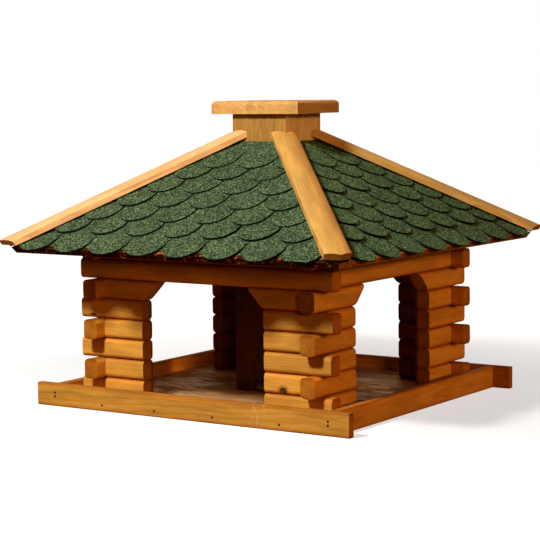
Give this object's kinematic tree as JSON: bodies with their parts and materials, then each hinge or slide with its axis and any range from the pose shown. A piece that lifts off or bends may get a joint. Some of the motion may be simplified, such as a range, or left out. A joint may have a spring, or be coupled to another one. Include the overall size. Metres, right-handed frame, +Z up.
{
  "type": "bird table",
  "caption": "Log-cabin bird table with a rimmed tray, corner posts of crossing logs, a hipped roof of round-tab shingles and a feed silo with a lift-off cap.",
  "frame": {"origin": "middle of the ground under the tray, straight below the silo", "axes": "+Z up, +X along the front rim to the right as seen from the front, +Y to the back"},
  "size_m": [0.5448, 0.5448, 0.4115],
  "materials": {
    "stained_timber": "honey-coloured stained softwood, satin",
    "light_pine": "pale yellow softwood, satin",
    "silo_pine": "pine boards, satin",
    "strand_board": "grey-brown strand board, matt",
    "roof_board": "rough board, matt",
    "bitumen_shingles": "green mineral granules on bitumen felt, rough",
    "steel_nails": "dull wire nails"
  },
  "bodies": {
    "table": {"floor_panel": "strand_board", "hip_batten_back_left": "light_pine", "hip_batten_back_right": "light_pine", "hip_batten_front_left": "light_pine", "hip_batten_front_right": "light_pine", "lintel_back": "stained_timber", "lintel_front": "stained_timber", "lintel_left": "stained_timber", "lintel_right": "stained_timber", "post_back_left_course_1": "stained_timber", "post_back_left_course_2": "stained_timber", "post_back_left_course_3": "stained_timber", "post_back_left_course_4": "stained_timber", "post_back_left_course_5": "stained_timber", "post_back_left_course_6": "stained_timber", "post_back_right_course_1": "stained_timber", "post_back_right_course_2": "stained_timber", "post_back_right_course_3": "stained_timber", "post_back_right_course_4": "stained_timber", "post_back_right_course_5": "stained_timber", "post_back_right_course_6": "stained_timber", "post_front_left_course_1": "stained_timber", "post_front_left_course_2": "stained_timber", "post_front_left_course_3": "stained_timber", "post_front_left_course_4": "stained_timber", "post_front_left_course_5": "stained_timber", "post_front_left_course_6": "stained_timber", "post_front_right_course_1": "stained_timber", "post_front_right_course_2": "stained_timber", "post_front_right_course_3": "stained_timber", "post_front_right_course_4": "stained_timber", "post_front_right_course_5": "stained_timber", "post_front_right_course_6": "stained_timber", "rim_back": "stained_timber", "rim_front": "stained_timber", "rim_left": "stained_timber", "rim_right": "stained_timber", "roof_board_back": "roof_board", "roof_board_front": "roof_board", "roof_board_left": "roof_board", "roof_board_right": "roof_board", "shingles_back": "bitumen_shingles", "shingles_front": "bitumen_shingles", "shingles_left": "bitumen_shingles", "shingles_right": "bitumen_shingles", "silo_board_back": "silo_pine", "silo_board_front": "silo_pine", "silo_board_left": "silo_pine", "silo_board_right": "silo_pine", "tie_beam_back": "stained_timber", "tie_beam_front": "stained_timber", "tie_beam_left": "stained_timber", "tie_beam_right": "stained_timber", "tray_nails": "steel_nails", "wall_plate_back": "stained_timber", "wall_plate_front": "stained_timber", "wall_plate_left": "stained_timber", "wall_plate_right": "stained_timber"},
    "cap": {"cap_board": "light_pine", "cap_plug": "light_pine"}
  },
  "joints": [
    {"name": "cap_lift", "type": "slide", "parent": "table", "child": "cap", "axis": [0, 0, 1], "range_m": [0, 0.08]}
  ]
}
